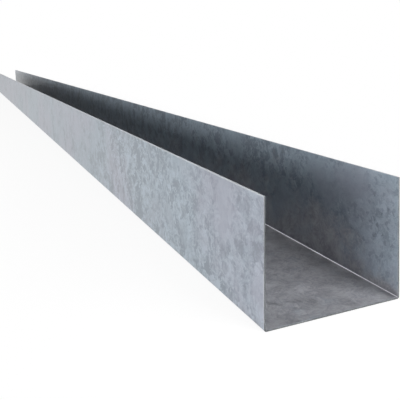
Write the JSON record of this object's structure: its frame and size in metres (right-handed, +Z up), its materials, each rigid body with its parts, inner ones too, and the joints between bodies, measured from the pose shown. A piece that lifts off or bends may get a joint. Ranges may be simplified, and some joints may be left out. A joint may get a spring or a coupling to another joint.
{
  "type": "drywall track",
  "caption": "Deep-leg drywall track: a plain U-shaped channel of galvanised steel sheet that holds the ends of partition studs along a floor or ceiling.",
  "frame": {"origin": "underside of the web, at the middle of its width and length", "axes": "+Y along the length, +X across the width, +Z up from the web towards the open side between the legs"},
  "size_m": [0.0952, 2.4384, 0.0762],
  "materials": {
    "galvanised_steel": "hot-dip galvanised sheet, satin, with a fine zinc spangle"
  },
  "bodies": {
    "root": {"drywall_track": "galvanised_steel"}
  },
  "joints": []
}
